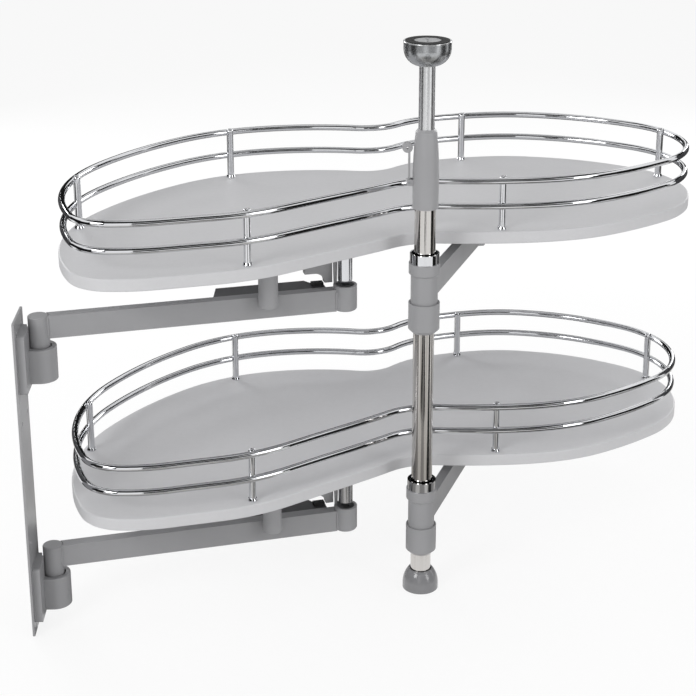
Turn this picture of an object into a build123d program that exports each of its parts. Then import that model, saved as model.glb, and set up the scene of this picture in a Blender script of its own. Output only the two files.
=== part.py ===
# Blind corner pull-out: two S-shaped trays that swing out of a corner cabinet on one post.
# Millimetres. The origin is on the post's axis at the underside of the foot.
# +X runs along the cabinet's front, +Y goes into the cabinet, +Z is up.
# The trays are modelled in their closed place, inside the cabinet.
import os
from math import atan2, cos, degrees, hypot, radians, sin, sqrt

from build123d import *

os.makedirs("parts", exist_ok=True)

# Fits
turning_gap = 0.08  # radial gap of a shaft that turns or slides in its bore
passing_gap = 0.3  # gap between pieces that move past each other
welded_gap = 0.05  # gap at the curved seam between two welded or pressed pieces

# Post tube and foot
tube_diameter = 25.0
tube_wall = 2.0
foot_height = 26.0
foot_diameter = 44.0
foot_neck_diameter = 29.0
foot_skirt_height = 6.0
foot_recess_depth = 5.0
foot_recess_gap = 0.8
foot_spigot_length = 20.0

# Clamp sleeve on the tube's top: its outer diameter at four heights, from low to high
sleeve_bottom = 491.6
sleeve_length = 93.4
sleeve_on_tube = 53.4
sleeve_bottom_diameter = 29.8
sleeve_waist_diameter = 30.4
sleeve_shoulder_diameter = 28.1
sleeve_top_diameter = 24.4
sleeve_waist_height = 35.0
sleeve_shoulder_height = 69.0
sleeve_lip_drop = 3.0
sleeve_lip_slope = 2.4

# Clamp lever and its pivot, at the left of the sleeve
lever_pin_diameter = 3.0
lever_width = 6.0
lever_thickness = 2.2
lever_length = 41.0
lever_eye_radius = 3.4
lever_head_radius = 6.0
lever_hole_diameter = 3.4
lever_pivot_height = 31.0
ear_thickness = 2.0
ear_radius = 3.6
ear_reach = 4.0

# Extension and cap
extension_diameter = 18.5
extension_wall = 1.5
extension_length = 306.0
guide_length = 12.0
guide_plug_length = 10.0
cap_bottom = 658.0
cap_height = 28.4
cap_diameter = 54.0
cap_boss_diameter = 20.5
cap_rim_height = 9.0
cap_rim_wall = 1.8
cap_socket_depth = 6.0
seal_height = 8.0
seal_proud = 0.6
seal_width = 10.0
disc_drop = 0.4
disc_hole_diameter = 4.4
disc_hole_spacing = 10.6

# Hub stack on the tube, heights above the floor for the lower tray
collar_bottom = 49.0
collar_height = 14.5
collar_diameter = 37.0
collar_chamfer = 4.5
collar_screw_diameter = 4.0
collar_socket_radius = 1.1
collar_socket_depth = 2.5
seat_height = 22.5
seat_pocket_depth = 6.0
seat_pocket_gap = 0.5
hub_diameter = 32.0
hub_top = 135.0
hub_head_height = 15.0
hub_head_chamfer = 2.5
ring_diameter = 34.5
ring_wall = 1.8
ring_height = 12.0
ring_pocket_depth = 5.0

# Support arm, its outer face is tangent to the hub
arm_angle = 69.0
arm_width = 12.0
arm_height = 28.0
arm_wall = 2.0
arm_bottom = 98.0
arm_pivot_distance = 215.0
arm_root_distance = 27.0
arm_spigot_length = 20.0
pivot_sleeve_diameter = 20.0
pivot_bolt_diameter = 10.0
pivot_head_diameter = 17.0
pivot_head_height = 6.0
pivot_plate_length = 178.0
pivot_plate_width = 60.0
pivot_plate_thickness = 3.0
tray_screw_diameter = 4.5
tray_screw_head = 8.5
tray_screw_head_height = 2.2
tray_screw_length = 10.0
tray_screw_inset = 8.5

# Tray board and gallery
tray_pitch = 290.0
board_bottom = 144.0
board_thickness = 15.0
board_top_round = 2.0
board_bottom_round = 1.0
rail_diameter = 8.0
rail_inset = 7.0
upright_diameter = 8.5
upright_top_round = 3.8
upright_setback = 4.0
upright_screw_diameter = 5.0
upright_screw_length = 10.0
top_rail_height = 60.5
mid_rail_height = 29.5
upright_proud = 5.5
ferrule_diameter = 11.5
ferrule_height = 3.5
ferrule_rim_height = 1.2
ferrule_neck_wall = 0.6

# Outline of the board: points on its edge, counter-clockwise from the front left, as shares of
# the tray's length and depth, with the direction of the edge there in degrees. Two tangent arcs
# join each point to the next.
tray_length = 780.0
tray_depth = 501.0
outline_shares = [
    (-0.4564, -0.2295, -5.0),
    (-0.3077, -0.1936, 13.0),
    (-0.1051, -0.0160, 34.0),
    (0.0244, 0.0818, -6.0),
    (0.1551, 0.0778, 3.0),
    (0.3038, 0.1397, 29.0),
    (0.4538, 0.3852, 79.0),
    (0.2205, 0.7625, 169.0),
    (0.0372, 0.7265, 201.0),
    (-0.0846, 0.6307, 168.0),
    (-0.3872, 0.5170, 223.0),
    (-0.5397, -0.0359, 279.0),
]
# Places of the six uprights, as shares of the way round the gallery from its first point
upright_places = (0.0783, 0.2475, 0.4425, 0.5865, 0.755, 0.9)

# Control arm: wall pivot, guide pin, bar
wall_pivot = (-442.0, -56.0)
guide_pivot = (-92.0, 24.5)
link_width = 14.0
link_height = 27.0
link_wall = 2.0
link_bottom = 69.5
barrel_diameter = 24.0
barrel_top_round = 1.6
bush_diameter = 28.4
bush_top_proud = 4.0
bush_bore_depth = 12.0
bush_rim = 3.2
bush_edge_round = 3.0
link_plate_start = 22.0
link_plate_step = 42.0
link_plate_end = 157.0
link_plate_slope = 8.0
link_plate_narrow = 23.0
link_plate_wide = 36.0
link_plate_thickness = 3.0
bumper_length = 14.0
bumper_width = 9.0
bumper_height = 3.6
bumper_gap = 1.0
guide_pin_diameter = 17.4
guide_pin_tip_diameter = 13.0
guide_pin_taper = 6.0

# Hooked rib and rod beside the guide pin, stop buffer. Distances are from the guide pin.
rib_stem_near = 13.0
rib_stem_width = 9.5
rib_wing_length = 24.0
rib_wing_drop = 31.0
rib_arc_radius = 12.0
rib_thickness = 10.0
rib_set_back = 15.0
rod_top_diameter = 6.0
rod_tip_diameter = 4.0
rod_distance = 10.5
rod_set_back = 6.5
buffer_diameter = 23.0
buffer_drop = 57.0
buffer_flange_diameter = 30.0
buffer_flange_height = 3.0
buffer_tip_round = 3.0
buffer_distance = 97.0
buffer_core_diameter = 13.0
buffer_core_drop = 1.0
buffer_core_length = 20.0

# Wall plate and brackets
plate_inner_face = -461.0
plate_thickness = 2.5
plate_front = -105.5
plate_width = 60.0
plate_bottom = 2.0
plate_height = 392.0
plate_corner_round = 2.0
plate_hole_diameter = 5.0
plate_hole_inset = 14.0
plate_hole_spacing = 36.0
plate_lowest_hole = 7.0
plate_outer_hole_pitch = 110.5
plate_middle_hole_pitch = 149.5
bracket_height = 70.0
bracket_bottom = 16.0
bracket_thickness = 9.0
bracket_front_inset = 7.5
bracket_depth = 44.0
bracket_corner_round = 3.0
housing_bottom_lift = 4.0
housing_height = 40.0
housing_diameter = 38.0
housing_recess_depth = 5.0
housing_recess_gap = 1.6
housing_edge_round = 1.2
wall_pin_diameter = 12.0
wall_pin_top_cover = 6.0
wall_pin_bottom_cover = 6.0

# Worked out from the sizes above
tube_radius = tube_diameter / 2
tube_bore_radius = tube_radius - tube_wall
tube_bottom = foot_height - foot_recess_depth
tube_top = sleeve_bottom + sleeve_on_tube
sleeve_top = sleeve_bottom + sleeve_length
extension_top = cap_bottom + cap_socket_depth
extension_bottom = extension_top - extension_length
cap_top = cap_bottom + cap_height
seal_bottom = cap_top + seal_proud - seal_height
seal_outer_radius = cap_diameter / 2 - cap_rim_wall
disc_radius = seal_outer_radius - seal_width
seat_bottom = collar_bottom + collar_height
seat_top = seat_bottom + seat_height
hub_bottom = seat_top - seat_pocket_depth
hub_radius = hub_diameter / 2
head_radius = collar_diameter / 2
arm_offset = hub_radius - arm_width / 2
arm_top = arm_bottom + arm_height
board_top = board_bottom + board_thickness
tray_levels = {"lower": 0.0, "upper": tray_pitch}
link_top = link_bottom + link_height
bush_top = link_top + bush_top_proud
guide_tip = bush_top + passing_gap
bracket_front = plate_front + bracket_front_inset
housing_bottom = bracket_bottom + housing_bottom_lift
housing_top = housing_bottom + housing_height
barrel_bottom = housing_top - housing_recess_depth + passing_gap
arm_along = (cos(radians(arm_angle)), sin(radians(arm_angle)))
arm_across = (sin(radians(arm_angle)), -cos(radians(arm_angle)))
link_angle = degrees(atan2(guide_pivot[1] - wall_pivot[1], guide_pivot[0] - wall_pivot[0]))
link_length = hypot(guide_pivot[0] - wall_pivot[0], guide_pivot[1] - wall_pivot[1])
tray_pivot = (
    arm_pivot_distance * arm_along[0] + arm_offset * arm_across[0],
    arm_pivot_distance * arm_along[1] + arm_offset * arm_across[1],
)

outline_points = [(tray_length * x, tray_depth * y, angle) for x, y, angle in outline_shares]

nodes = {}


def placed(shape, x=0.0, y=0.0, z=0.0):
    """The shape moved to x, y, z."""
    return Pos(x, y, z) * shape


def column(diameter, low, high, x=0.0, y=0.0):
    """An upright cylinder between two heights."""
    body = Cylinder(diameter / 2, high - low, align=(Align.CENTER, Align.CENTER, Align.MIN))
    return placed(body, x, y, low)


def pipe(diameter, bore, low, high, x=0.0, y=0.0):
    """An upright tube between two heights."""
    return column(diameter, low, high, x, y) - column(bore, low, high, x, y)


def block(length, width, height, x=0.0, y=0.0, z=0.0):
    """A box that starts at x, is centred on y and stands on z."""
    body = Box(length, width, height, align=(Align.MIN, Align.CENTER, Align.MIN))
    return placed(body, x, y, z)


def turned(*edges):
    """The solid swept by a closed profile in the XZ plane, turned about the Z axis."""
    return revolve(make_face(Wire(edges)), axis=Axis.Z)


def turned_points(points):
    """The solid turned from straight lines through (radius, height) points."""
    return revolve(make_face(Polyline(*[(r, 0, z) for r, z in points], close=True)), axis=Axis.Z)


def in_arm_frame(shape):
    """A shape drawn along +X from the post's axis, laid along the support arm."""
    return Pos(arm_offset * arm_across[0], arm_offset * arm_across[1]) * Rot(Z=arm_angle) * shape


def in_link_frame(shape):
    """A shape drawn along +X from the guide pin, laid along the control arm to the wall."""
    return Pos(guide_pivot[0], guide_pivot[1]) * Rot(Z=link_angle + 180) * shape


def edge_stations():
    """Points of the outline at every arc's end, with the edge's direction in radians."""
    stations = []
    for index, (x0, y0, angle0) in enumerate(outline_points):
        x1, y1, angle1 = outline_points[(index + 1) % len(outline_points)]
        a0, a1 = radians(angle0), radians(angle1)
        vx, vy = x1 - x0, y1 - y0
        along = vx * (cos(a0) + cos(a1)) + vy * (sin(a0) + sin(a1))
        spread = 2 * (1 - cos(a1 - a0))
        reach = (sqrt(along**2 + spread * (vx**2 + vy**2)) - along) / spread
        mx = (x0 + x1 + reach * (cos(a0) - cos(a1))) / 2
        my = (y0 + y1 + reach * (sin(a0) - sin(a1))) / 2
        middle_angle = 2 * atan2(my - y0, mx - x0) - a0
        stations += [(x0, y0, a0), (mx, my, middle_angle)]
    return stations


def outline_wire(inset, height):
    """The board's outline, moved inwards by an inset, as tangent arcs at a height."""
    moved = [(x - inset * sin(a), y + inset * cos(a), a) for x, y, a in edge_stations()]
    arcs = []
    for index, (x0, y0, angle) in enumerate(moved):
        x1, y1, _ = moved[(index + 1) % len(moved)]
        arcs.append(TangentArc((x0, y0, height), (x1, y1, height), tangent=(cos(angle), sin(angle), 0)))
    return Wire(arcs)


def upright_spots():
    """Places of the uprights, just inside the rails."""
    line = outline_wire(rail_inset + upright_setback, 0)
    return [(spot.X, spot.Y) for spot in (line.position_at(share) for share in upright_places)]


def rail_ring(height):
    """A round rail along the outline, notched where the uprights are welded to it."""
    path = outline_wire(rail_inset, height)
    start = Plane(origin=path.position_at(0), z_dir=path.tangent_at(0))
    ring = sweep(start * Circle(rail_diameter / 2), path=path)
    for x, y in upright_spots():
        reach = rail_diameter
        ring -= column(upright_diameter + 2 * welded_gap, height - reach, height + reach, x, y)
    return ring


# Foot: a bell with a recess round the tube and a spigot inside it
def foot():
    base = foot_diameter / 2
    neck = foot_neck_diameter / 2
    recess = tube_radius + foot_recess_gap
    spigot = tube_bore_radius - welded_gap
    return turned(
        Line((0, 0, 0), (base, 0, 0)),
        Line((base, 0, 0), (base, 0, foot_skirt_height)),
        TangentArc((base, 0, foot_skirt_height), (neck, 0, foot_height), tangent=(0, 0, 1)),
        Line((neck, 0, foot_height), (recess, 0, foot_height)),
        Line((recess, 0, foot_height), (recess, 0, tube_bottom)),
        Line((recess, 0, tube_bottom), (spigot, 0, tube_bottom)),
        Line((spigot, 0, tube_bottom), (spigot, 0, tube_bottom + foot_spigot_length)),
        Line((spigot, 0, tube_bottom + foot_spigot_length), (0, 0, tube_bottom + foot_spigot_length)),
        Line((0, 0, tube_bottom + foot_spigot_length), (0, 0, 0)),
    )


nodes["foot"] = foot()
nodes["post_tube"] = pipe(tube_diameter, 2 * tube_bore_radius, tube_bottom, tube_top)


# Clamp sleeve: moulded barrel, with two ears at the left for the lever's pin
def lever_place():
    """Pivot of the clamp lever: distance left of the post's axis, and height."""
    reach = sleeve_waist_diameter / 2 + ear_reach
    return -reach, sleeve_bottom + lever_pivot_height


def cross_column(diameter, length, x, z):
    """A cylinder along Y, centred on the plane y = 0."""
    return Pos(x, 0, z) * Rot(X=90) * Cylinder(diameter / 2, length)


def clamp_sleeve():
    radii = (
        (sleeve_bottom_diameter / 2, 0, sleeve_bottom),
        (sleeve_waist_diameter / 2, 0, sleeve_bottom + sleeve_waist_height),
        (sleeve_shoulder_diameter / 2, 0, sleeve_bottom + sleeve_shoulder_height),
        (sleeve_top_diameter / 2, 0, sleeve_top - sleeve_lip_drop),
    )
    lip = (sleeve_top_diameter / 2 - sleeve_lip_slope, 0, sleeve_top)
    skin = turned(
        Line((0, 0, sleeve_bottom), radii[0]),
        Spline(*radii),
        Line(radii[3], lip),
        Line(lip, (0, 0, sleeve_top)),
        Line((0, 0, sleeve_top), (0, 0, sleeve_bottom)),
    )
    pivot_x, pivot_z = lever_place()
    ear = cross_column(2 * ear_radius, ear_thickness, pivot_x, pivot_z)
    ear += block(-pivot_x, ear_thickness, 2 * ear_radius, pivot_x, 0, pivot_z - ear_radius)
    side = lever_width / 2 + passing_gap + ear_thickness / 2
    body = skin + Pos(0, side, 0) * ear + Pos(0, -side, 0) * ear
    body -= cross_column(lever_pin_diameter + 2 * welded_gap, sleeve_waist_diameter, pivot_x, pivot_z)
    body -= column(tube_diameter + 2 * welded_gap, sleeve_bottom, tube_top)
    body -= column(extension_diameter + 2 * turning_gap, tube_top, sleeve_top)
    return body


nodes["clamp_sleeve"] = clamp_sleeve()


def clamp_lever():
    """A flat strip with an eye at its pivot and a round head with a finger hole at its top."""
    pivot_x, pivot_z = lever_place()
    head_z = pivot_z + lever_length
    strip = Pos(pivot_x, 0, pivot_z) * Box(
        lever_thickness, lever_width, lever_length, align=(Align.CENTER, Align.CENTER, Align.MIN)
    )
    body = strip + cross_column(2 * lever_eye_radius, lever_width, pivot_x, pivot_z)
    body += cross_column(2 * lever_head_radius, lever_width, pivot_x - lever_thickness, head_z)
    body -= cross_column(lever_pin_diameter + 2 * turning_gap, lever_width, pivot_x, pivot_z)
    body -= cross_column(lever_hole_diameter, lever_width, pivot_x - lever_thickness, head_z)
    # The head and the eye stay clear of the sleeve behind them
    clearance = column(sleeve_waist_diameter + 2 * passing_gap, sleeve_bottom, sleeve_top)
    return body - clearance


nodes["clamp_lever"] = clamp_lever()
nodes["clamp_lever_pin"] = cross_column(
    lever_pin_diameter, lever_width + 2 * passing_gap + 2 * ear_thickness, *lever_place()
)

# Telescopic extension with its guide, cup, seal and disc
nodes["extension_tube"] = pipe(
    extension_diameter, extension_diameter - 2 * extension_wall, extension_bottom, extension_top
)
guide_diameter = 2 * (tube_bore_radius - turning_gap)
plug_diameter = extension_diameter - 2 * extension_wall - 2 * welded_gap
plug_top = extension_bottom + guide_plug_length
guide = column(guide_diameter, extension_bottom - guide_length, extension_bottom)
nodes["extension_guide"] = guide + column(plug_diameter, extension_bottom, plug_top)


def disc_holes(low, high):
    """The two screw holes of the cap, one in front of the other."""
    holes = column(disc_hole_diameter, low, high, 0, disc_hole_spacing / 2)
    return holes + column(disc_hole_diameter, low, high, 0, -disc_hole_spacing / 2)


def cap_cup():
    rim = cap_diameter / 2
    boss = cap_boss_diameter / 2
    shoulder = cap_top - cap_rim_height
    bowl = turned(
        Line((0, 0, cap_bottom), (boss, 0, cap_bottom)),
        TangentArc((rim, 0, shoulder), (boss, 0, cap_bottom), tangent=(0, 0, -1)),
        Line((rim, 0, shoulder), (rim, 0, cap_top)),
        Line((rim, 0, cap_top), (0, 0, cap_top)),
        Line((0, 0, cap_top), (0, 0, cap_bottom)),
    )
    bowl -= column(2 * seal_outer_radius, seal_bottom, cap_top)
    bowl -= column(extension_diameter + 2 * welded_gap, cap_bottom, extension_top)
    return bowl - disc_holes(cap_bottom, cap_top)


nodes["cap_cup"] = cap_cup()
nodes["cap_seal"] = pipe(
    2 * (seal_outer_radius - welded_gap), 2 * (disc_radius + welded_gap), seal_bottom, cap_top + seal_proud
)
nodes["cap_disc"] = column(2 * disc_radius, seal_bottom, cap_top + seal_proud - disc_drop) - disc_holes(
    seal_bottom, cap_top + seal_proud
)


# Collars, seats and rings are the same for both trays
def stop_collar(level):
    low = collar_bottom + level
    high = seat_bottom + level
    bore = tube_radius + welded_gap
    ring = turned_points(
        [
            (bore, low),
            (head_radius - collar_chamfer, low),
            (head_radius, low + collar_chamfer),
            (head_radius, high),
            (bore, high),
        ]
    )
    screw_hole = Rot(X=90) * Cylinder(collar_screw_diameter / 2, head_radius)
    return ring - Pos(0, head_radius, (low + high) / 2) * screw_hole


def collar_screw(level):
    """Set screw in the back of a stop collar, flush with it."""
    length = head_radius - tube_radius - 2 * welded_gap
    middle = tube_radius + welded_gap + length / 2
    screw_height = (collar_bottom + seat_bottom) / 2 + level
    screw = Cylinder(collar_screw_diameter / 2 - welded_gap, length)
    socket = extrude(RegularPolygon(collar_socket_radius, 6), collar_socket_depth)
    socket = Pos(0, 0, -length / 2) * socket
    return Pos(0, middle, screw_height) * Rot(X=90) * (screw - socket)


def hub_seat(level):
    low = seat_bottom + level
    high = seat_top + level
    cup = pipe(collar_diameter, tube_diameter + 2 * welded_gap, low, high)
    return cup - column(hub_diameter + 2 * seat_pocket_gap, high - seat_pocket_depth, high)


def hub(level):
    """Casting that turns on the tube: barrel, wider head, and an ear inside the support arm."""
    low = hub_bottom + level
    high = hub_top + level
    head_low = high - hub_head_height
    barrel = turned_points(
        [
            (0, low),
            (hub_radius, low),
            (hub_radius, head_low),
            (head_radius, head_low + hub_head_chamfer),
            (head_radius, high),
            (0, high),
        ]
    )
    arm_z = arm_bottom + level
    ear = in_arm_frame(block(arm_root_distance, arm_width, arm_height, 0, 0, arm_z))
    inner_width = arm_width - 2 * arm_wall - 2 * welded_gap
    inner_height = arm_height - 2 * arm_wall - 2 * welded_gap
    inner_z = arm_z + arm_wall + welded_gap
    spigot = block(arm_spigot_length, inner_width, inner_height, arm_root_distance, 0, inner_z)
    spigot = in_arm_frame(spigot)
    body = barrel + ear + spigot
    body -= column(ring_diameter + 2 * welded_gap, high - ring_pocket_depth, high)
    return body - column(tube_diameter + 2 * turning_gap, low, high)


def cover_ring(level):
    low = hub_top - ring_pocket_depth + level
    return pipe(ring_diameter, ring_diameter - 2 * ring_wall, low, low + ring_pocket_depth + ring_height)


def support_arm(level):
    """Rectangular steel tube between the hub's ear and the pivot sleeve."""
    low = arm_bottom + level
    length = arm_pivot_distance - arm_root_distance
    bar = block(length, arm_width, arm_height, arm_root_distance, 0, low)
    bar -= block(
        length, arm_width - 2 * arm_wall, arm_height - 2 * arm_wall, arm_root_distance, 0, low + arm_wall
    )
    bar -= column(pivot_sleeve_diameter + 2 * welded_gap, low, low + arm_height, arm_pivot_distance, 0)
    return in_arm_frame(bar)


def pivot_sleeve(level):
    bore = pivot_bolt_diameter + 2 * turning_gap
    return pipe(pivot_sleeve_diameter, bore, arm_bottom + level, arm_top + level, *tray_pivot)


def in_tray_frame(shape):
    """A shape drawn along +X from the tray's pivot, laid along the support arm to its end."""
    return Pos(tray_pivot[0], tray_pivot[1]) * Rot(Z=arm_angle) * shape


def tray_screw_spots():
    """Places of the pivot plate's screws from the tray's pivot, along and across the arm."""
    side = pivot_plate_width / 2 - tray_screw_inset
    far = pivot_plate_width / 2 - tray_screw_inset
    near = pivot_plate_width / 2 - pivot_plate_length + tray_screw_inset
    return [(along, across) for along in (near, far) for across in (-side, side)]


def plate_bottom_height(level):
    return board_bottom - pivot_plate_thickness + level


def pivot_plate(level):
    """Steel plate under the board, with a turned boss that rests on the support arm."""
    low = plate_bottom_height(level)
    start = pivot_plate_width / 2 - pivot_plate_length
    plate = block(pivot_plate_length, pivot_plate_width, pivot_plate_thickness, start, 0, low)
    plate = fillet(plate.edges().filter_by(Axis.Z), tray_screw_inset)
    boss = column(pivot_sleeve_diameter, arm_top + level, low)
    body = plate + boss
    body -= column(pivot_bolt_diameter + 2 * welded_gap, arm_top + level, low + pivot_plate_thickness)
    screw_bore = tray_screw_diameter + 2 * welded_gap
    for along, across in tray_screw_spots():
        body -= column(screw_bore, low, low + pivot_plate_thickness, along, across)
    return in_tray_frame(body)


def pivot_bolt(level):
    """Bolt from the board's underside through the arm, with its head below the arm."""
    head_top = arm_bottom - passing_gap + level
    head = Pos(0, 0, head_top - pivot_head_height) * extrude(
        RegularPolygon(pivot_head_diameter / 2, 6), pivot_head_height
    )
    return in_tray_frame(head + column(pivot_bolt_diameter, head_top, board_bottom + level))


def tray_screws(level):
    low = plate_bottom_height(level)
    high = low + pivot_plate_thickness + tray_screw_length
    screws = []
    for along, across in tray_screw_spots():
        head = column(tray_screw_head, low - tray_screw_head_height, low, along, across)
        shank = column(tray_screw_diameter, low, high, along, across)
        screws.append(in_tray_frame(head + shank))
    return screws


def board(level):
    low = board_bottom + level
    high = board_top + level
    slab = extrude(make_face(outline_wire(0, low)), board_thickness)
    slab = fillet(slab.edges().group_by(Axis.Z)[-1], board_top_round)
    slab = chamfer(slab.edges().group_by(Axis.Z)[0], board_bottom_round)
    upright_bore = upright_screw_diameter + 2 * welded_gap
    for x, y in upright_spots():
        slab -= column(upright_bore, high - upright_screw_length, high, x, y)
    screw_bore = tray_screw_diameter + 2 * welded_gap
    for along, across in tray_screw_spots():
        slab -= in_tray_frame(column(screw_bore, low, low + tray_screw_length, along, across))
    return slab


def uprights(level):
    low = board_top + level
    top = low + top_rail_height + upright_proud
    posts = []
    for x, y in upright_spots():
        wire = column(upright_diameter, low, top, x, y)
        wire = fillet(wire.edges().group_by(Axis.Z)[-1], upright_top_round)
        posts.append(wire + column(upright_screw_diameter, low - upright_screw_length, low, x, y))
    return posts


def ferrules(level):
    low = board_top + level
    bore = upright_diameter / 2 + welded_gap
    rim = ferrule_diameter / 2
    cone = turned_points(
        [
            (bore, 0),
            (rim, 0),
            (rim, ferrule_rim_height),
            (bore + ferrule_neck_wall, ferrule_height),
            (bore, ferrule_height),
        ]
    )
    return [placed(cone, x, y, low) for x, y in upright_spots()]


def guide_pin(level):
    """Chromed pin under the board, with a tapered tip above the control arm's bush."""
    tip = guide_tip + level
    pin = turned_points(
        [
            (0, tip),
            (guide_pin_tip_diameter / 2, tip),
            (guide_pin_diameter / 2, tip + guide_pin_taper),
            (guide_pin_diameter / 2, board_bottom + level),
            (0, board_bottom + level),
        ]
    )
    return placed(pin, *guide_pivot)


def pin_bracket(level):
    """Hooked rib behind the guide pin, with a thin tapered rod between them."""
    tip = guide_tip + level
    top = board_bottom + level
    wing_low = top - rib_wing_drop
    stem_far = rib_stem_near + rib_stem_width
    stem = block(rib_stem_width, rib_thickness, top - tip, rib_stem_near, -rib_set_back, tip)
    wing = block(rib_wing_length, rib_thickness, rib_wing_drop, stem_far, -rib_set_back, wing_low)
    web = block(rib_arc_radius, rib_thickness, wing_low - tip, stem_far, -rib_set_back, tip)
    scoop = Rot(X=90) * Cylinder(rib_arc_radius, 2 * rib_thickness)
    web -= Pos(stem_far + rib_arc_radius, -rib_set_back, wing_low - rib_arc_radius) * scoop
    rod = turned_points([(0, tip), (rod_tip_diameter / 2, tip), (rod_top_diameter / 2, top), (0, top)])
    return [in_link_frame(stem + wing + web), in_link_frame(Pos(rod_distance, -rod_set_back, 0) * rod)]


def buffer_place():
    """Centre of the stop buffer: it rests on the front face of the closed control arm."""
    return buffer_distance, link_width / 2 + passing_gap + buffer_diameter / 2


def stop_buffer(level):
    low = board_bottom - buffer_drop + level
    high = board_bottom + level
    post = column(buffer_diameter, low, high)
    post = fillet(post.edges().group_by(Axis.Z)[0], buffer_tip_round)
    post += column(buffer_flange_diameter, high - buffer_flange_height, high)
    post -= column(buffer_core_diameter + 2 * welded_gap, low, low + buffer_core_length - buffer_core_drop)
    return in_link_frame(placed(post, *buffer_place()))


def buffer_core(level):
    low = board_bottom - buffer_drop - buffer_core_drop + level
    core = column(buffer_core_diameter, low, low + buffer_core_length)
    return in_link_frame(placed(core, *buffer_place()))


# Control arm: drawn from the guide pin at x = 0 to the wall pivot at x = link_length
def control_arm(level):
    low = link_bottom + level
    bar = block(link_length, link_width, link_height, 0, 0, low)
    inner_width = link_width - 2 * link_wall
    inner_height = link_height - 2 * link_wall
    bar -= block(link_length, inner_width, inner_height, 0, 0, low + link_wall)
    bar -= column(bush_diameter + 2 * welded_gap, low, low + link_height)
    bar -= column(barrel_diameter + 2 * welded_gap, low, low + link_height, link_length, 0)
    return in_link_frame(bar)


def link_barrel(level):
    low = barrel_bottom + level
    high = link_top + level
    shell = column(barrel_diameter, low, high)
    shell = fillet(shell.edges().group_by(Axis.Z)[-1], barrel_top_round)
    shell -= column(wall_pin_diameter + 2 * turning_gap, low, high - wall_pin_top_cover + passing_gap)
    return placed(shell, *wall_pivot)


def link_bush(level):
    low = link_bottom + level
    high = bush_top + level
    shell = column(bush_diameter, low, high)
    shell = fillet(shell.edges().group_by(Axis.Z)[0], bush_edge_round)
    shell -= column(bush_diameter - 2 * bush_rim, high - bush_bore_depth, high)
    return placed(shell, *guide_pivot)


def link_plate(level):
    """Dark stiffening plate welded on the back of the bar, stepped back near the bush."""
    back = -link_width / 2
    outline = Polyline(
        (link_plate_start, back),
        (link_plate_start, -link_plate_narrow),
        (link_plate_step - link_plate_slope, -link_plate_narrow),
        (link_plate_step, -link_plate_wide),
        (link_plate_end - link_plate_slope, -link_plate_wide),
        (link_plate_end, back),
        close=True,
    )
    low = link_top - link_plate_thickness + level
    return in_link_frame(Pos(0, 0, low) * extrude(make_face(outline), link_plate_thickness))


def link_bumper(level):
    """Small rubber block on the stiffening plate's narrow end."""
    across = -link_plate_narrow + bumper_gap + bumper_width / 2
    start = link_plate_start + bumper_gap
    low = link_top + level
    return in_link_frame(block(bumper_length, bumper_width, bumper_height, start, across, low))


# Wall plate: a long strip with two columns of screw holes and one more hole at the top
def plate_hole_heights():
    """Heights of the screw holes, from low to high."""
    first = plate_bottom + plate_lowest_hole
    second = first + plate_outer_hole_pitch
    third = second + plate_middle_hole_pitch
    return first, second, third, third + plate_outer_hole_pitch


def plate_hole_spots():
    """Places (y, z) of all screw holes in the wall plate."""
    near = plate_front + plate_hole_inset
    heights = plate_hole_heights()
    spots = [(y, z) for z in heights for y in (near, near + plate_hole_spacing)]
    return spots + [(near + plate_hole_spacing / 2, heights[-1])]


def wall_plate():
    strip = Box(plate_thickness, plate_width, plate_height, align=(Align.MAX, Align.MIN, Align.MIN))
    strip = fillet(strip.edges().filter_by(Axis.X), plate_corner_round)
    strip = Pos(plate_inner_face, plate_front, plate_bottom) * strip
    for y, z in plate_hole_spots():
        hole = Rot(Y=90) * Cylinder(plate_hole_diameter / 2, 3 * plate_thickness)
        strip -= Pos(plate_inner_face, y, z) * hole
    return strip


def wall_bracket(level):
    """Block on the wall plate with a round housing for the control arm's barrel."""
    low = bracket_bottom + level
    pad = Box(bracket_thickness, bracket_depth, bracket_height, align=Align.MIN)
    pad = fillet(pad.edges().filter_by(Axis.X), bracket_corner_round)
    pad = Pos(plate_inner_face, bracket_front, low) * pad
    house_low = housing_bottom + level
    house_high = housing_top + level
    barrel = column(housing_diameter, house_low, house_high, *wall_pivot)
    reach = wall_pivot[0] - plate_inner_face
    barrel += block(reach, housing_diameter, housing_height, plate_inner_face, wall_pivot[1], house_low)
    barrel = fillet(barrel.edges().group_by(Axis.Z)[-1], housing_edge_round)
    body = pad + barrel
    pocket = barrel_diameter + 2 * housing_recess_gap
    body -= column(pocket, house_high - housing_recess_depth, house_high, *wall_pivot)
    # The barrel above the pocket also clears the block on the plate
    body -= column(pocket, house_high, low + bracket_height, *wall_pivot)
    pin_low = house_low + wall_pin_bottom_cover
    return body - column(wall_pin_diameter + 2 * welded_gap, pin_low, house_high, *wall_pivot)


def wall_pivot_pin(level):
    low = housing_bottom + wall_pin_bottom_cover + level
    return column(wall_pin_diameter, low, link_top - wall_pin_top_cover + level, *wall_pivot)


levels = tray_levels.values()
nodes["wall_plate"] = wall_plate()
nodes["wall_pivot_pins"] = [wall_pivot_pin(level) for level in levels]
nodes["stop_collars"] = [stop_collar(level) for level in levels]
nodes["hub_seats"] = [hub_seat(level) for level in levels]
nodes["collar_screws"] = [collar_screw(level) for level in levels]

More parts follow.
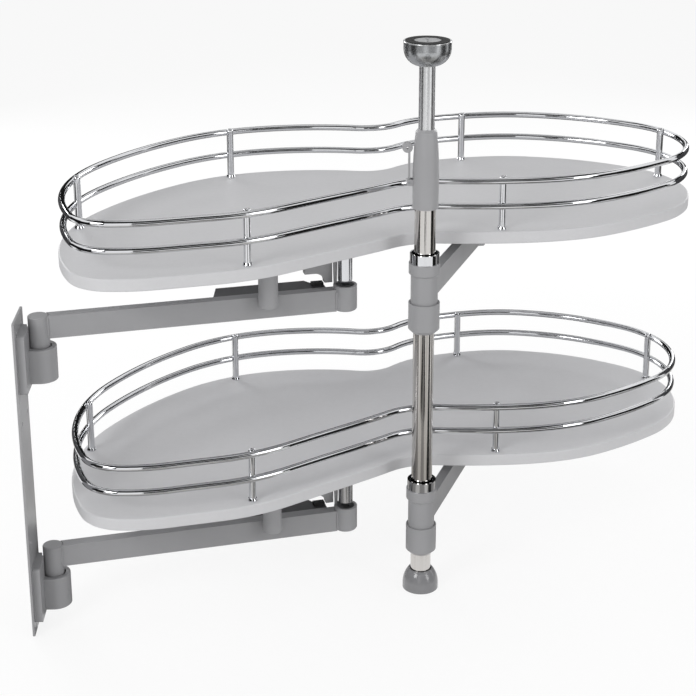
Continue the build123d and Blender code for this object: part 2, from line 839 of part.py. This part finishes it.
for tray, level in tray_levels.items():
    nodes[tray + "_bracket"] = wall_bracket(level)
    nodes[tray + "_hub"] = hub(level)
    nodes[tray + "_cover_ring"] = cover_ring(level)
    nodes[tray + "_support_arm"] = support_arm(level)
    nodes[tray + "_pivot_sleeve"] = pivot_sleeve(level)
    nodes[tray + "_board"] = board(level)
    nodes[tray + "_uprights"] = uprights(level)
    nodes[tray + "_ferrules"] = ferrules(level)
    nodes[tray + "_top_rail"] = rail_ring(board_top + top_rail_height + level)
    nodes[tray + "_mid_rail"] = rail_ring(board_top + mid_rail_height + level)
    nodes[tray + "_pivot_plate"] = pivot_plate(level)
    nodes[tray + "_pivot_bolt"] = pivot_bolt(level)
    nodes[tray + "_tray_screws"] = tray_screws(level)
    nodes[tray + "_guide_pin"] = guide_pin(level)
    nodes[tray + "_pin_bracket"] = pin_bracket(level)
    nodes[tray + "_stop_buffer"] = stop_buffer(level)
    nodes[tray + "_buffer_core"] = buffer_core(level)
    nodes[tray + "_control_arm"] = control_arm(level)
    nodes[tray + "_link_barrel"] = link_barrel(level)
    nodes[tray + "_link_bush"] = link_bush(level)
    nodes[tray + "_link_plate"] = link_plate(level)
    nodes[tray + "_link_bumper"] = link_bumper(level)

for name, shape in nodes.items():
    pieces = shape if isinstance(shape, list) else [shape]
    solids = [solid for piece in pieces for solid in piece.solids()]
    export_step(Compound(children=solids), "parts/" + name + ".step")
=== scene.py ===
# %% [markdown]
# # A blind corner pull-out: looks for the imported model
# The frame holds every piece in its real place, in metres, with +Z up. This lesson gives each piece
# the finish of the real one, adds the small things that a maker leaves behind, such as weld beads and
# a rolled rim, and sets up a plain studio with a camera.

# %% Load the frame
from math import cos, pi, radians, sin

import bpy
from mathutils import Matrix, Vector


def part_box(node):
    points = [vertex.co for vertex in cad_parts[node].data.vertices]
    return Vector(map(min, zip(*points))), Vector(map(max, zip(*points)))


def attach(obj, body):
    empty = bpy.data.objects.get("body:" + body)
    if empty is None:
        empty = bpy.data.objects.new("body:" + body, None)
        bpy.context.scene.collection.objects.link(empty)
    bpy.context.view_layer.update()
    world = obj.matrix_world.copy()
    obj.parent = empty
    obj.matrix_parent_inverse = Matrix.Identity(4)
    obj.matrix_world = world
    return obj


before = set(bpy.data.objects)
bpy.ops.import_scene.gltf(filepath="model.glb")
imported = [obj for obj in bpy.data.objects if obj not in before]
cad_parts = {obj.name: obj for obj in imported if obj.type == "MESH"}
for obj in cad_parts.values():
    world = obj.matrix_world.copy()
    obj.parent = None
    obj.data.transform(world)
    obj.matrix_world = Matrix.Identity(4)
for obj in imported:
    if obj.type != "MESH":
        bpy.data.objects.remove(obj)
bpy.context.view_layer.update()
MM = 0.001
TRAYS = ("lower", "upper")
print("nodes in the frame:", len(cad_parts))

# %% [markdown]
# ## Colours and nodes
# A colour is written as the sRGB hex value that a picture editor shows. Shaders work in linear
# light, so one function turns hex to linear. A second small function adds any shader node with its
# settings and its links, so that every material below reads as a short recipe.


# %% Two helpers for materials
def linear(hex_colour):
    """An sRGB hex colour as a linear RGBA tuple."""
    channels = [int(hex_colour[i : i + 2], 16) / 255 for i in (1, 3, 5)]
    curve = [c / 12.92 if c <= 0.04045 else ((c + 0.055) / 1.055) ** 2.4 for c in channels]
    return (*curve, 1.0)


def add_node(tree, kind, inputs=None, **settings):
    """Adds one shader node: settings are its properties, inputs are values or sockets to link."""
    node = tree.nodes.new(kind)
    for name, value in settings.items():
        setattr(node, name, value)
    for name, value in (inputs or {}).items():
        if isinstance(value, bpy.types.NodeSocket):
            tree.links.new(value, node.inputs[name])
        else:
            node.inputs[name].default_value = value
    return node


# %% [markdown]
# ## A surface recipe
# No real surface is one flat colour. Plating, paint and moulded plastic all vary a little from place
# to place, in shade and in shine, and each has a fine grain from how it was made. So the recipe is one
# Principled shader with two patterns: soft patches that shift the shade and the roughness, and a
# grain that bumps the surface. Both are given in millimetres, because the eye reads a surface by the
# real size of its texture. Tubes are drawn or extruded through a die, so their grain is long.


# %% One recipe for every finish
def surface(
    name, colour, shade=None, metallic=0.0, roughness=0.5, spread=0.0, ior=1.5, patch_mm=45.0,
    grain_mm=0.0, depth_mm=0.0, drawn=1.0,
):
    """A finish: shade is the patches' other colour, spread their change of roughness either way,
    and drawn how many times longer the patterns are along Z than across."""
    material = bpy.data.materials.new(name)
    material.use_nodes = True
    tree = material.node_tree
    shader = tree.nodes["Principled BSDF"]
    shader.inputs["Base Color"].default_value = linear(colour)
    shader.inputs["Metallic"].default_value = metallic
    shader.inputs["Roughness"].default_value = roughness
    if not metallic:
        shader.inputs["IOR"].default_value = ior
    if not (shade or grain_mm):
        return material
    place = add_node(tree, "ShaderNodeTexCoord")
    stretched = add_node(
        tree, "ShaderNodeMapping", {"Vector": place.outputs["Object"], "Scale": (1.0, 1.0, 1 / drawn)}
    )
    if shade:
        patches = add_node(
            tree,
            "ShaderNodeTexNoise",
            {"Vector": stretched.outputs[0], "Scale": 1 / (patch_mm * MM), "Detail": 3.0},
        )
        tint = add_node(
            tree,
            "ShaderNodeMix",
            {0: patches.outputs["Fac"], 6: linear(colour), 7: linear(shade)},
            data_type="RGBA",
        )
        tree.links.new(tint.outputs[2], shader.inputs["Base Color"])
        shine = add_node(
            tree,
            "ShaderNodeMapRange",
            {
                "Value": patches.outputs["Fac"],
                "From Min": 0.25,
                "From Max": 0.75,
                "To Min": roughness - spread,
                "To Max": roughness + spread,
            },
        )
        tree.links.new(shine.outputs[0], shader.inputs["Roughness"])
    if grain_mm:
        grain = add_node(
            tree,
            "ShaderNodeTexNoise",
            {"Vector": stretched.outputs[0], "Scale": 1 / (grain_mm * MM), "Detail": 2.0},
        )
        bump = add_node(
            tree,
            "ShaderNodeBump",
            {"Height": grain.outputs["Fac"], "Strength": 1.0, "Distance": depth_mm * MM},
        )
        tree.links.new(bump.outputs["Normal"], shader.inputs["Normal"])
    return material


def dress(material, *names):
    """Gives a material to CAD nodes. A name that starts with * stands for both trays' nodes."""
    for name in names:
        full = [f"{tray}_{name[1:]}" for tray in TRAYS] if name[0] == "*" else [name]
        for node in full:
            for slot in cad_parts[node].material_slots:
                slot.material = material


# %% [markdown]
# ## Chrome plate
# Post, rails, uprights and guide pins are steel with bright decorative chromium. The plating is
# nearly a mirror, a little darker than silver, and shows the studio as light and dark streaks.

# %% Chrome
chrome = surface("bright_chrome_plate", "#E2E3E5", "#D6D7DA", metallic=1.0, roughness=0.06, spread=0.02)
dress(chrome, "*cover_ring", "*uprights", "*ferrules", "*top_rail", "*mid_rail", "*guide_pin")
tube_chrome = surface(
    "drawn_tube_chrome_plate", "#D6D4D2", "#C6C2BE", metallic=1.0, roughness=0.12, spread=0.04,
    patch_mm=3.0, grain_mm=2.0, depth_mm=0.01, drawn=60.0,
)
dress(tube_chrome, "post_tube")
cup_steel = surface(
    "polished_deep_drawn_steel", "#BEC0C2", "#B2B4B6", metallic=1.0, roughness=0.26, spread=0.03
)
dress(cup_steel, "cap_cup")
print("chrome plated:", chrome.name, tube_chrome.name, cup_steel.name)

# %% [markdown]
# ## Aluminium and zinc
# The extension is an extruded aluminium tube, etched and anodised, so it is pale and satin. Pins and
# screws are zinc-plated steel: greyer, with a soft shine.

# %% Satin metals
anodised = surface(
    "satin_anodised_aluminium", "#F2F3F4", "#E8E9EA", metallic=1.0, roughness=0.28, spread=0.04,
    patch_mm=2.0, grain_mm=0.8, depth_mm=0.004, drawn=80.0,
)
dress(anodised, "extension_tube")
zinc = surface(
    "zinc_plated_steel", "#A7A9AB", "#9C9EA2", metallic=1.0, roughness=0.3, spread=0.06, patch_mm=4.0
)
dress(zinc, "clamp_lever_pin", "wall_pivot_pins", "collar_screws", "*pivot_bolt", "*tray_screws")
disc_steel = surface(
    "blasted_steel_disc", "#C9CACB", "#BDBEC0", metallic=1.0, roughness=0.5, spread=0.05, patch_mm=5.0,
    grain_mm=0.6, depth_mm=0.01,
)
dress(disc_steel, "cap_disc")
print("satin metals:", anodised.name, zinc.name, disc_steel.name)

# %% [markdown]
# ## Powder coat
# Arms, hubs, brackets and the wall plate are powder coated in a mid grey. The coat is baked plastic:
# a soft shine over a very slight orange peel.

# %% Powder coat
powder = surface(
    "grey_powder_coat", "#9C9C9E", "#959597", roughness=0.34, spread=0.05, grain_mm=1.6, depth_mm=0.014
)
dress(
    powder, "wall_plate", "*bracket", "stop_collars", "hub_seats", "*hub", "*support_arm",
    "*pivot_sleeve", "*control_arm", "*link_barrel", "*link_bush", "*pivot_plate",
)
# The link plates get a darker copy of the same coat: painted shade, standing for the shade that the tray
# casts on them.
coat_painted_shade = surface(
    "powder_coat_painted_shade", "#4C4C4E", "#464648", roughness=0.42, spread=0.05, grain_mm=1.6, depth_mm=0.014
)
dress(coat_painted_shade, "*link_plate")
print("powder coated:", powder.name, coat_painted_shade.name)

# %% [markdown]
# ## Moulded plastic and rubber
# The clamp sleeve, its lever and the stop pieces are moulded ABS in the coat's grey, with a fine
# spark-eroded mould texture. The foot is the same plastic from a polished mould, so it is glossy.

# %% Plastic and rubber
abs_grey = surface(
    "moulded_abs_grey", "#9E9EA0", "#98989A", roughness=0.42, spread=0.04, ior=1.53, grain_mm=0.9,
    depth_mm=0.01,
)
dress(abs_grey, "clamp_sleeve", "clamp_lever", "extension_guide", "*pin_bracket", "*stop_buffer")
abs_gloss = surface("polished_abs_grey", "#868688", "#828284", roughness=0.15, spread=0.03, ior=1.53)
dress(abs_gloss, "foot")
rubber_and_painted_shade = surface(
    "moulded_rubber_black_and_painted_shade", "#161617", "#1C1C1D", roughness=0.72, spread=0.06, ior=1.52, patch_mm=8.0,
    grain_mm=0.8, depth_mm=0.02,
)
# The cap seal and the link bumpers are real black rubber. The black cores at the bottoms of the stop
# buffers are painted shade: they stand where the buffers' hollow bottoms lie in shade.
dress(rubber_and_painted_shade, "cap_seal", "*link_bumper", "*buffer_core")
print("plastics:", abs_grey.name, abs_gloss.name, rubber_and_painted_shade.name)

# %% [markdown]
# ## Coated board
# The trays are particle board wrapped in a pale grey melamine film, pressed with a fine pearl
# texture that breaks reflections into a soft sheen.

# %% Board
melamine = surface(
    "pearl_melamine_film", "#CCCCCE", "#C8C8CA", roughness=0.46, spread=0.03, patch_mm=6.0, grain_mm=1.2,
    depth_mm=0.01,
)
dress(melamine, "*board")
print("boards:", melamine.name)

# %% [markdown]
# ## From points to a piece
# Every piece that is added below is a mesh worked out from a formula: a list of points, and a list of
# faces that name their corners. One helper turns the two lists into an object with a material.


# %% A mesh from points and faces
def mesh_piece(name, points, faces, material, smooth=True):
    mesh = bpy.data.meshes.new(name)
    mesh.from_pydata(points, [], faces)
    mesh.materials.append(material)
    for face in mesh.polygons:
        face.use_smooth = smooth
    piece = bpy.data.objects.new(name, mesh)
    bpy.context.collection.objects.link(piece)
    return piece


# %% [markdown]
# ## Weld beads
# The control arm is a rectangular tube, welded between a turned bush and a turned barrel. A weld is
# a low bead that bulges out of the corner between two parts. One bead is a short upright rod, a
# little thicker in places, sunk half into the corner, so a tube mesh with a wavy radius will do.


# %% Place of a control arm
def on_arm(along, across):
    """A point in metres, from the guide pin along the arm to the wall and across to the front."""
    direction = (WALL_PIVOT - GUIDE_PIVOT).normalized()
    side = Vector((-direction.y, direction.x))
    spot = GUIDE_PIVOT + direction * along * MM + side * across * MM
    return spot.x, spot.y


def middle_of(node):
    """The middle of a CAD node, seen from above."""
    low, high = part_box(node)
    return Vector(((low.x + high.x) / 2, (low.y + high.y) / 2))


GUIDE_PIVOT = middle_of("lower_link_bush")
WALL_PIVOT = middle_of("lower_link_barrel")
ARM_REACH = (WALL_PIVOT - GUIDE_PIVOT).length / MM
BUSH_RADIUS, BARREL_RADIUS, ARM_HALF = 14.2, 12.0, 7.0
BEAD_RADIUS, BEAD_WAVE = 1.3 * MM, 0.18
print("control arm in mm:", round(ARM_REACH, 1))


# %% A wavy rod for a bead
def wavy_rod(name, x, y, low, high, radius, wave, material):
    """An upright rod with round ripples, like the steps of a hand-laid weld."""
    rings, sides, ripple_mm = 28, 12, 2.6
    points, faces = [], []
    for ring in range(rings + 1):
        share = ring / rings
        z = low + (high - low) * share
        swell = radius * (1 + wave * abs(sin(pi * (high - low) * share / (ripple_mm * MM))))
        swell *= min(1.0, 6 * min(share, 1 - share) + 0.25)
        for side in range(sides):
            turn = 2 * pi * side / sides
            points.append((x + swell * cos(turn), y + swell * sin(turn), z))
    for ring in range(rings):
        for side in range(sides):
            a, b = ring * sides + side, ring * sides + (side + 1) % sides
            faces.append((a, b, b + sides, a + sides))
    faces.append(tuple(range(sides - 1, -1, -1)))
    faces.append(tuple(range(rings * sides, (rings + 1) * sides)))
    return mesh_piece(name, points, faces, material)


for tray in TRAYS:
    low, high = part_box(f"{tray}_control_arm")
    bush_along = (BUSH_RADIUS**2 - ARM_HALF**2) ** 0.5
    barrel_along = ARM_REACH - (BARREL_RADIUS**2 - ARM_HALF**2) ** 0.5
    for end, along in (("bush", bush_along), ("barrel", barrel_along)):
        for face, across in (("front", ARM_HALF), ("back", -ARM_HALF)):
            x, y = on_arm(along, across)
            name = f"{tray}_{end}_weld_{face}"
            bead = wavy_rod(name, x, y, low.z + MM, high.z - MM, BEAD_RADIUS, BEAD_WAVE, powder)
            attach(bead, f"{tray}_link")
print("weld beads:", 4 * len(TRAYS))

# %% [markdown]
# ## Rail welds
# Each rail is resistance welded to the outer side of every upright. The two round bars are pressed
# together while they melt a little, so a small nugget of metal stands between them. The plating
# covers it. A flattened ball at each crossing is enough.


# %% Places of the uprights
HEAD_BAND, HEAD_SPREAD = 0.2 * MM, 20 * MM


def upright_centres(tray):
    """The middles of the six uprights, found from their highest points."""
    points = [vertex.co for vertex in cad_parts[f"{tray}_uprights"].data.vertices]
    top = max(point.z for point in points)
    heads = []
    for point in points:
        if point.z < top - HEAD_BAND:
            continue
        near = [head for head in heads if (head[0] - point).length < HEAD_SPREAD]
        if near:
            near[0].append(point)
        else:
            heads.append([point])
    return [sum(head, Vector()) / len(head) for head in heads]


def nearest_on(node, spot, height):
    """The point of a node's mesh that is nearest to a spot at a height."""
    target = Vector((spot.x, spot.y, height))
    points = [vertex.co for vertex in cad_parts[node].data.vertices]
    return min(points, key=lambda point: (point - target).length)


def nugget(name, place, direction, material):
    """A ball of weld metal, flattened between two bars."""
    rings, sides, radius = 6, 12, NUGGET_RADIUS
    points, faces = [(0, 0, radius)], []
    for ring in range(1, rings):
        tilt = pi * ring / rings
        reach, rise = radius * sin(tilt), radius * cos(tilt)
        for side in range(sides):
            turn = 2 * pi * side / sides
            points.append((reach * cos(turn), reach * sin(turn), rise))
    points.append((0, 0, -radius))
    last = len(points) - 1
    for side in range(sides):
        after = (side + 1) % sides
        faces.append((0, 1 + side, 1 + after))
        faces.append((last, last - sides + after, last - sides + side))
        for ring in range(rings - 2):
            a, b = 1 + ring * sides + side, 1 + ring * sides + after
            faces.append((a, a + sides, b + sides, b))
    ball = mesh_piece(name, points, faces, material)
    facing = direction.to_track_quat("X", "Z").to_matrix().to_4x4()
    ball.matrix_world = Matrix.Translation(place) @ facing
    ball.scale = NUGGET_SHAPE
    return ball


# %% One nugget at each crossing
NUGGET_RADIUS, NUGGET_LIFT, NUGGET_OUT = 2.6 * MM, 2.2 * MM, 2.6 * MM
NUGGET_SHAPE = (0.8, 1.0, 1.35)
rail_welds = []
for tray in TRAYS:
    for post, centre in enumerate(upright_centres(tray)):
        for rail in ("top_rail", "mid_rail"):
            low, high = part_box(f"{tray}_{rail}")
            height = (low.z + high.z) / 2
            touch = nearest_on(f"{tray}_{rail}", centre, height)
            outwards = Vector((touch.x - centre.x, touch.y - centre.y, 0)).normalized()
            place = Vector((centre.x, centre.y, height + NUGGET_LIFT)) + outwards * NUGGET_OUT
            ball = nugget(f"{tray}_{rail}_weld_{post}", place, outwards, chrome)
            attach(ball, f"{tray}_tray")
            rail_welds.append(ball)
print("rail welds:", len(rail_welds))

# %% [markdown]
# ## Rolled rim of the cup
# The cup at the top is deep drawn from sheet, and its edge is rolled so that it doesn't cut the
# rubber. The roll is a thin bead that stands a little proud and catches a bright line of light. It is
# a ring of small circles round the cup's axis.


# %% A rolled bead
def rolled_rim(name, centre, ring_radius, bead_radius, material):
    """A closed bead of round section round an upright axis through the centre."""
    turns, sides = 96, 12
    points, faces = [], []
    for turn in range(turns):
        around = 2 * pi * turn / turns
        for side in range(sides):
            tilt = 2 * pi * side / sides
            reach = ring_radius + bead_radius * cos(tilt)
            points.append((reach * cos(around), reach * sin(around), bead_radius * sin(tilt)))
    for turn in range(turns):
        for side in range(sides):
            here, after = turn * sides, (turn + 1) % turns * sides
            up = (side + 1) % sides
            faces.append((here + side, after + side, after + up, here + up))
    bead = mesh_piece(name, points, faces, material)
    bead.location = centre
    return bead


# The rim's steel is much lighter than the cup's, though both are the same sheet. That lighter colour is
# a painted highlight along the bead, and it adds to the real highlight that the bead's round shape
# catches.
rim_steel_painted_highlight = surface(
    "rolled_steel_edge_painted_highlight", "#E4E5E6", "#DADBDC", metallic=1.0, roughness=0.18, spread=0.03
)
cup_low, cup_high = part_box("cap_cup")
cup_middle = (cup_low + cup_high) / 2
RIM_BEAD, RIM_PROUD = 0.9 * MM, 0.3 * MM
rim_radius = (cup_high.x - cup_low.x) / 2 + RIM_PROUD - RIM_BEAD
rim_centre = (cup_middle.x, cup_middle.y, cup_high.z - RIM_BEAD)
rim = rolled_rim("cap_rolled_rim", rim_centre, rim_radius, RIM_BEAD, rim_steel_painted_highlight)
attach(rim, "extension")
print("rim radius in mm:", round(rim_radius / MM, 1))

# %% [markdown]
# ## Studio
# A white table in a white room, with five soft boxes. Chrome shows its surroundings, so in an all
# white room it would vanish. A product photographer puts black and grey cards round the table, out of
# the picture, and each tube and rail then gets the dark lines that make it read as chrome. Here the
# cards show in reflections only, and cast no shadow.

# %% Rays that see the studio
def seen_rays(tree):
    """1 where the camera, or a mirror or a glass in between, looks at the surface."""
    rays = add_node(tree, "ShaderNodeLightPath")
    seen = rays.outputs["Is Camera Ray"]
    for kind in ("Is Glossy Ray", "Is Transmission Ray"):
        either = add_node(
            tree, "ShaderNodeMath", {0: seen, 1: rays.outputs[kind]}, operation="MAXIMUM"
        )
        seen = either.outputs[0]
    return seen


# %% Table
TABLE_REACH, TABLE_GLOW = 12.0, 0.85
table_white = bpy.data.materials.new("studio_table_white")
table_white.use_nodes = True
tree = table_white.node_tree
tree.nodes.clear()
glow_share = add_node(
    tree, "ShaderNodeMath", {0: seen_rays(tree), 1: TABLE_GLOW}, operation="MULTIPLY"
)
matt = add_node(tree, "ShaderNodeBsdfDiffuse", {"Color": linear("#F4F4F4")})
glow = add_node(tree, "ShaderNodeEmission", {"Color": linear("#FFFFFF"), "Strength": 1.0})
table_mix = add_node(
    tree, "ShaderNodeMixShader", {0: glow_share.outputs[0], 1: matt.outputs[0], 2: glow.outputs[0]}
)
add_node(tree, "ShaderNodeOutputMaterial", {"Surface": table_mix.outputs[0]})
square = [(-TABLE_REACH, -TABLE_REACH, 0), (TABLE_REACH, -TABLE_REACH, 0)]
square += [(TABLE_REACH, TABLE_REACH, 0), (-TABLE_REACH, TABLE_REACH, 0)]
floor = mesh_piece("studio_floor", square, [(0, 1, 2, 3)], table_white, smooth=False)
print("table in metres:", 2 * TABLE_REACH)

# %% Room
ROOM_LIGHT = 0.62
world = bpy.data.worlds.new("studio_room")
bpy.context.scene.world = world
world.use_nodes = True
tree = world.node_tree
tree.nodes.clear()
lighting = add_node(tree, "ShaderNodeBackground", {"Color": linear("#FFFFFF"), "Strength": ROOM_LIGHT})
backdrop = add_node(tree, "ShaderNodeBackground", {"Color": linear("#FFFFFF"), "Strength": 1.0})
room = add_node(
    tree, "ShaderNodeMixShader", {0: seen_rays(tree), 1: lighting.outputs[0], 2: backdrop.outputs[0]}
)
add_node(tree, "ShaderNodeOutputWorld", {"Surface": room.outputs[0]})
print("room light:", ROOM_LIGHT)


# %% Soft boxes
OBJECT_MIDDLE = (0, 0.1, 0.35)


def aim(place, target):
    """A matrix at a place whose -Z axis points at a target."""
    turn = (Vector(target) - Vector(place)).to_track_quat("-Z", "Y").to_matrix().to_4x4()
    return Matrix.Translation(place) @ turn


def soft_box(name, place, width, height, power):
    """A rectangular lamp at a place, in metres and watts, turned to the middle of the object."""
    lamp = bpy.data.lights.new(name, "AREA")
    lamp.shape = "RECTANGLE"
    lamp.size, lamp.size_y, lamp.energy = width, height, power
    box = bpy.data.objects.new(name, lamp)
    bpy.context.collection.objects.link(box)
    box.matrix_world = aim(place, OBJECT_MIDDLE)
    box.visible_camera = False


soft_box("key_box", (-1.9, -1.9, 1.7), width=1.0, height=1.0, power=28.0)
soft_box("fill_box", (2.1, -1.7, 1.2), width=0.8, height=1.2, power=13.0)
soft_box("top_box", (0.1, 0.3, 2.6), width=1.6, height=1.2, power=5.0)
soft_box("back_left_box", (-1.5, 2.0, 0.9), width=0.9, height=0.9, power=18.0)
soft_box("back_right_box", (1.6, 2.0, 0.9), width=0.9, height=0.9, power=18.0)
print("light in watts:", sum(lamp.energy for lamp in bpy.data.lights))

# %% Card papers
card_black = surface("black_card", "#060606", roughness=1.0)
card_grey = surface("grey_card", "#3C3C3E", roughness=1.0)
card_mid = surface("mid_grey_card", "#8C8A88", roughness=1.0)
card_pale = surface("pale_grey_card", "#C6C4C0", roughness=1.0)


# %% One card
cards = []


def card(name, paper, angle, corners):
    """A card at an angle round the table, 0 in front, that only mirrors see."""
    sheet = mesh_piece(name, corners, [(0, 1, 2, 3)], paper, smooth=False)
    sheet.matrix_world = Matrix.Rotation(radians(angle), 4, "Z")
    sheet.visible_camera = sheet.visible_diffuse = sheet.visible_shadow = False
    cards.append(sheet)


def standing_card(name, paper, angle, distance, width, high):
    """An upright card at a distance from the post."""
    half = width / 2
    corners = [(-half, 0), (half, 0), (half, high), (-half, high)]
    card(name, paper, angle, [(x, -distance, z) for x, z in corners])


def lying_card(name, paper, angle, start, end, width):
    """A wedge on the table, from one distance from the post to another, half as wide near it."""
    half = width / 2
    corners = [(-half, -end), (half, -end), (half / 2, -start), (-half / 2, -start)]
    card(name, paper, angle, [(x, y, MM) for x, y in corners])


def level_card(name, left, right, near, far, height):
    """A black card that lies level between two places to the side and two places in depth."""
    corners = [(left, near, height), (right, near, height), (right, far, height), (left, far, height)]
    card(name, card_black, 0, corners)


# %% Cards round the table
NEAR_CARDS = [(75, 0.6), (125, 0.6), (180, 0.8), (235, 0.6), (285, 0.6)]
for index, (angle, width) in enumerate(NEAR_CARDS):
    paper = card_grey if index % 2 else card_black
    standing_card(f"near_card_{index}", paper, angle, distance=1.05, width=width, high=0.8)
FAR_CARDS = 6
for index in range(FAR_CARDS):
    angle = (index + 0.3) * 360 / FAR_CARDS
    standing_card(f"far_card_{index}", card_black, angle, distance=3.2, width=2.4, high=2.2)
print("standing cards:", len(cards))

# %% Cards that lie level
LYING_CARDS = 11
for index in range(LYING_CARDS):
    paper = (card_mid, card_pale, card_black)[index % 3]
    angle = index * 360 / LYING_CARDS
    lying_card(f"lying_card_{index}", paper, angle, start=0.1, end=1.04, width=0.34)
for index, angle in enumerate((-75, 95, 150, 210)):
    lying_card(f"far_lying_card_{index}", card_mid, angle, start=1.2, end=2.6, width=1.4)
level_card("ceiling_card", -1.8, 1.8, near=-3.2, far=1.8, height=2.8)
for side, left, right in (("left", -0.30, -0.08), ("right", 0.05, 0.20)):
    level_card(f"front_card_{side}", left, right, near=-0.95, far=-0.50, height=2 * MM)
    level_card(f"far_front_card_{side}", left, right, near=-1.70, far=-1.35, height=2 * MM)
print("all cards:", len(cards))

# %% [markdown]
# ## Camera
# The picture is a square of 696 by 696. The camera stands in front of the post, a little left,
# above the trays, and looks down at them with a long lens. A small shift of the lens puts the object
# where it stands in the picture.

# %% Camera
CAMERA_PLACE = (-0.148, -1.770, 1.027)
camera_data = bpy.data.cameras.new("camera")
camera_data.lens = 83.16
camera_data.sensor_width = 36.0
camera_data.shift_y = -0.16
camera = bpy.data.objects.new("camera", camera_data)
bpy.context.collection.objects.link(camera)
yaw, pitch, roll = radians(-1.90), radians(17.83), radians(-0.08)
turn = Matrix.Rotation(yaw, 4, "Z") @ Matrix.Rotation(pi / 2 - pitch, 4, "X")
turn = turn @ Matrix.Rotation(roll, 4, "Z")
camera.matrix_world = Matrix.Translation(CAMERA_PLACE) @ turn
bpy.context.scene.camera = camera
bpy.context.scene.view_settings.view_transform = "Standard"
print("lens in mm:", round(camera_data.lens, 2))
